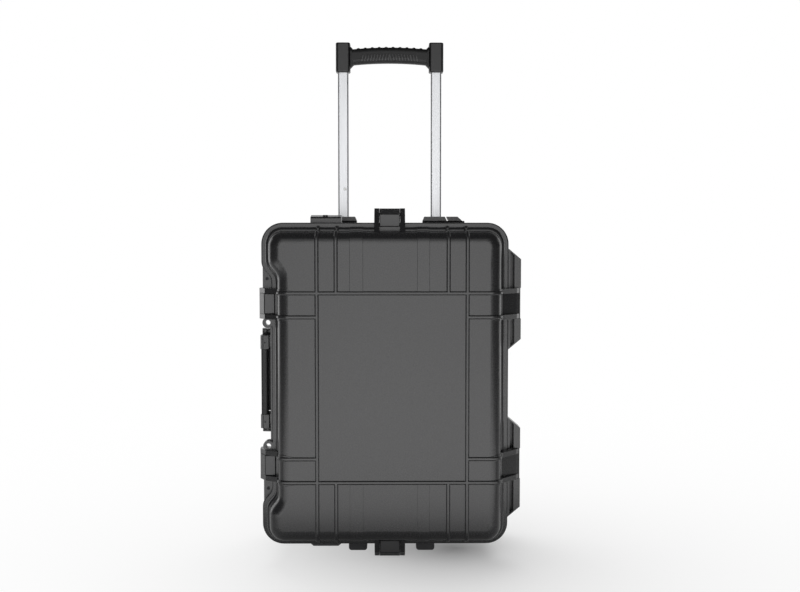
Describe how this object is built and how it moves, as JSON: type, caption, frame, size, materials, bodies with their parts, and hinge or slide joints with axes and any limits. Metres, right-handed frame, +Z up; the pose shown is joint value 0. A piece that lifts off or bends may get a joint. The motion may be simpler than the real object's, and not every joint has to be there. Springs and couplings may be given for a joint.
{
  "type": "wheeled laptop hard case",
  "caption": "Upright ribbed plastic hard case with a side-hinged lid, lever latches, folding side handle, two wheels and a pull-up trolley grip",
  "frame": {"origin": "on the floor under the middle of the case's overall box, on the trolley's centre line", "axes": "+Z up along the trolley tubes, +Y from the lid to the back, +X towards the lid's hinges"},
  "size_m": [0.456, 0.265, 0.929],
  "materials": {
    "shell_plastic": "moulded polypropylene, fine grain",
    "latch_plastic": "moulded glass-filled nylon",
    "steel_pin": "drawn stainless steel",
    "tube_aluminium": "satin anodised",
    "sleeve_aluminium": "mill finish extrusion",
    "bush_plastic": "acetal",
    "grip_plastic": "moulded polypropylene",
    "grip_rubber": "ribbed thermoplastic rubber",
    "seal_rubber": "EPDM cord",
    "foam": "open-cell polyurethane foam",
    "wheel_tyre": "polyurethane tread",
    "wheel_plastic": "moulded nylon hub",
    "bearing_steel": "ball bearing rings"
  },
  "bodies": {
    "base": {"base_rim": "shell_plastic", "base_shell": "shell_plastic", "handle_plate": "shell_plastic", "end_foot_left": "shell_plastic", "end_foot_right": "shell_plastic", "end_pad": "shell_plastic", "valve_body": "shell_plastic", "back_cover": "shell_plastic", "trolley_collar_left": "shell_plastic", "trolley_collar_right": "shell_plastic", "trolley_bracket": "shell_plastic", "wheel_yoke_left": "shell_plastic", "wheel_yoke_right": "shell_plastic", "handle_bracket_upper": "shell_plastic", "handle_bracket_lower": "shell_plastic", "hinge_pin_upper": "steel_pin", "hinge_pin_lower": "steel_pin", "handle_pin_upper": "steel_pin", "handle_pin_lower": "steel_pin", "axle_left": "steel_pin", "axle_right": "steel_pin", "trolley_sleeve_left": "sleeve_aluminium", "trolley_sleeve_right": "sleeve_aluminium", "corner_rivets": "steel_pin", "cover_screws": "steel_pin", "base_foam": "foam"},
    "lid": {"lid_shell": "shell_plastic", "gasket": "seal_rubber", "lid_foam": "foam", "latch_pin_top": "steel_pin", "latch_pin_bottom": "steel_pin", "latch_pin_upper": "steel_pin", "latch_pin_lower": "steel_pin"},
    "side_handle": {"handle_frame": "latch_plastic", "handle_grip": "grip_rubber"},
    "trolley": {"trolley_tube_left": "tube_aluminium", "trolley_tube_right": "tube_aluminium", "tube_bush_left": "bush_plastic", "tube_bush_right": "bush_plastic", "grip_end_cap_left": "grip_plastic", "grip_end_cap_right": "grip_plastic", "grip_core": "grip_plastic", "grip_sleeve": "grip_rubber"},
    "snap_button": {"snap_button": "steel_pin"},
    "valve_knob": {"valve_knob": "latch_plastic"},
    "latch_top": {"latch_top": "latch_plastic"},
    "latch_bottom": {"latch_bottom": "latch_plastic"},
    "latch_upper": {"latch_upper": "latch_plastic"},
    "latch_lower": {"latch_lower": "latch_plastic"},
    "wheel_left": {"wheel_tyre_left": "wheel_tyre", "wheel_hub_left": "wheel_plastic", "wheel_bearings_left": "bearing_steel"},
    "wheel_right": {"wheel_tyre_right": "wheel_tyre", "wheel_hub_right": "wheel_plastic", "wheel_bearings_right": "bearing_steel"}
  },
  "joints": [
    {"name": "lid_hinge", "type": "hinge", "parent": "base", "child": "lid", "pos_m": [0.2223, -0.062, 0.31], "axis": [0, 0, 1], "range_deg": [0, 105]},
    {"name": "latch_top_pivot", "type": "hinge", "parent": "lid", "child": "latch_top", "pos_m": [0, -0.053, 0.6052], "axis": [-1, 0, 0], "range_deg": [0, 100]},
    {"name": "latch_bottom_pivot", "type": "hinge", "parent": "lid", "child": "latch_bottom", "pos_m": [0, -0.053, 0.0148], "axis": [1, 0, 0], "range_deg": [0, 100]},
    {"name": "latch_upper_pivot", "type": "hinge", "parent": "lid", "child": "latch_upper", "pos_m": [-0.2167, -0.053, 0.4505], "axis": [0, 0, -1], "range_deg": [0, 100]},
    {"name": "latch_lower_pivot", "type": "hinge", "parent": "lid", "child": "latch_lower", "pos_m": [-0.2167, -0.053, 0.1695], "axis": [0, 0, -1], "range_deg": [0, 100]},
    {"name": "side_handle_pivot", "type": "hinge", "parent": "base", "child": "side_handle", "pos_m": [-0.217, -0.002, 0.31], "axis": [0, 0, -1], "range_deg": [0, 90]},
    {"name": "trolley_slide", "type": "slide", "parent": "base", "child": "trolley", "axis": [0, 0, 1], "range_m": [-0.269, 0]},
    {"name": "snap_button_press", "type": "slide", "parent": "trolley", "child": "snap_button", "axis": [0, 1, 0], "range_m": [0, 0.0015], "stiffness_N_per_m": 400, "springref_m": -0.001},
    {"name": "valve_knob_turn", "type": "hinge", "parent": "base", "child": "valve_knob", "pos_m": [-0.113, -0.036, 0.607], "axis": [0, 0, 1], "range_deg": [0, 180]},
    {"name": "wheel_left_spin", "type": "hinge", "parent": "base", "child": "wheel_left", "pos_m": [-0.18, 0.092, 0.038], "axis": [1, 0, 0], "continuous": true},
    {"name": "wheel_right_spin", "type": "hinge", "parent": "base", "child": "wheel_right", "pos_m": [0.164, 0.092, 0.038], "axis": [1, 0, 0], "continuous": true}
  ]
}
